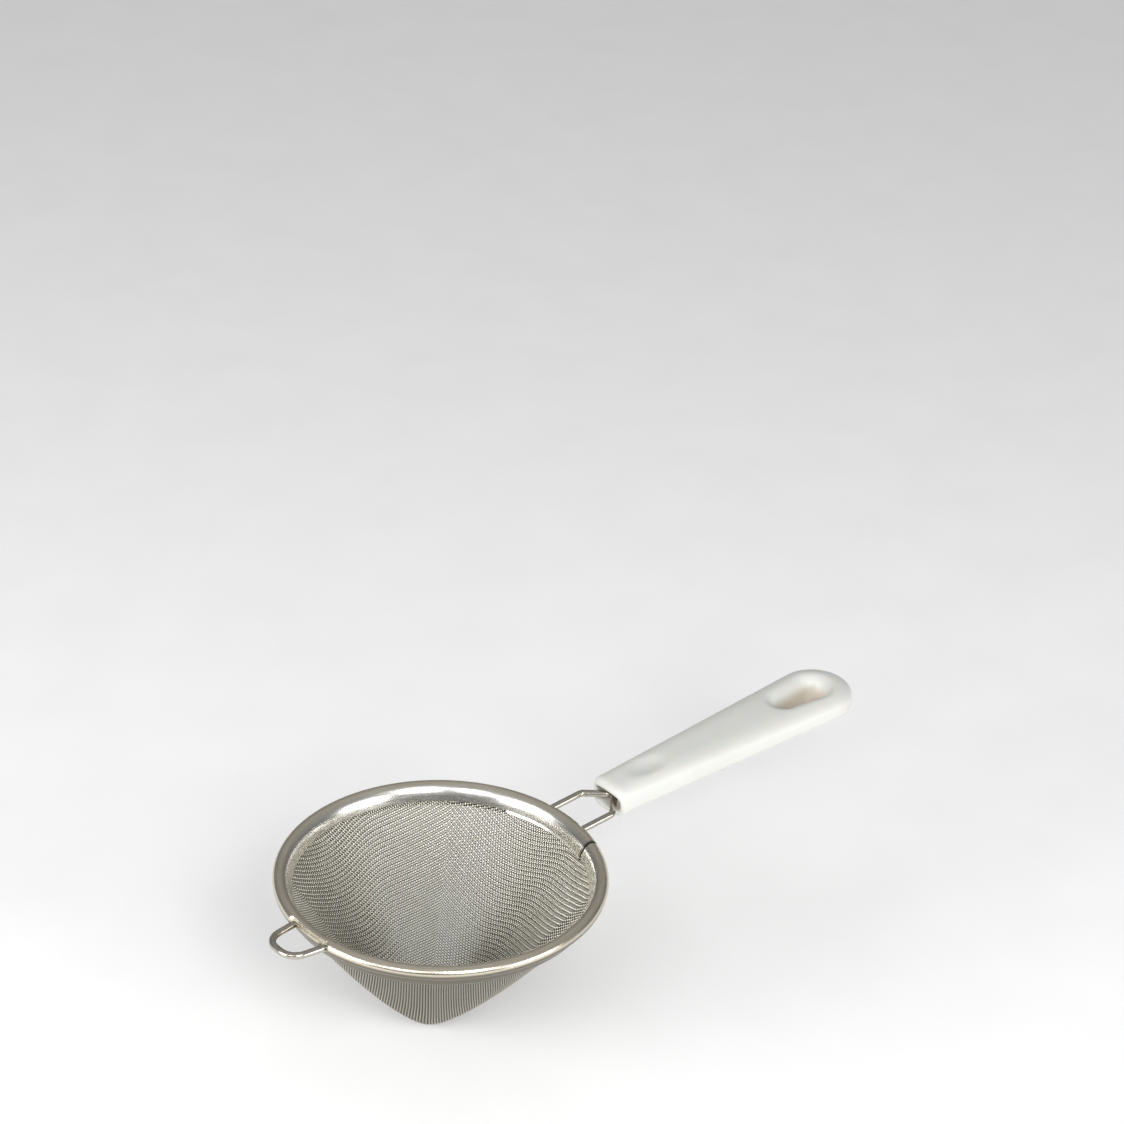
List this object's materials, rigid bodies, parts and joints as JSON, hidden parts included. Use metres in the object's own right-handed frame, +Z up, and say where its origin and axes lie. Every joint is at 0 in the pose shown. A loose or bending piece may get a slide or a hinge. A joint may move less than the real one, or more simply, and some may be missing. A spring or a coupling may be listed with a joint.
{
  "type": "tea strainer",
  "caption": "Conical tea strainer: woven steel cloth in a lapped rim band, with a wire rest loop and a white moulded grip on a bent wire tang.",
  "frame": {"origin": "under the middle of the whole object, level with the cone's blunt tip", "axes": "+X along the grip, away from the rim; +Z up, out of the open mouth of the cone; +Y to the left when looking along the grip from the rim"},
  "size_m": [0.1822, 0.08, 0.0486],
  "materials": {
    "rim_steel": "satin rolled strip with fine lines around the rim",
    "wire_steel": "bright drawn wire",
    "cloth_steel": "plain square weave of fine wire",
    "grip_plastic": "satin moulded white plastic"
  },
  "bodies": {
    "root": {"rim_band": "rim_steel", "mesh_cone": "cloth_steel", "rest_loop": "wire_steel", "tang_wire": "wire_steel", "handle_grip": "grip_plastic"}
  },
  "joints": []
}
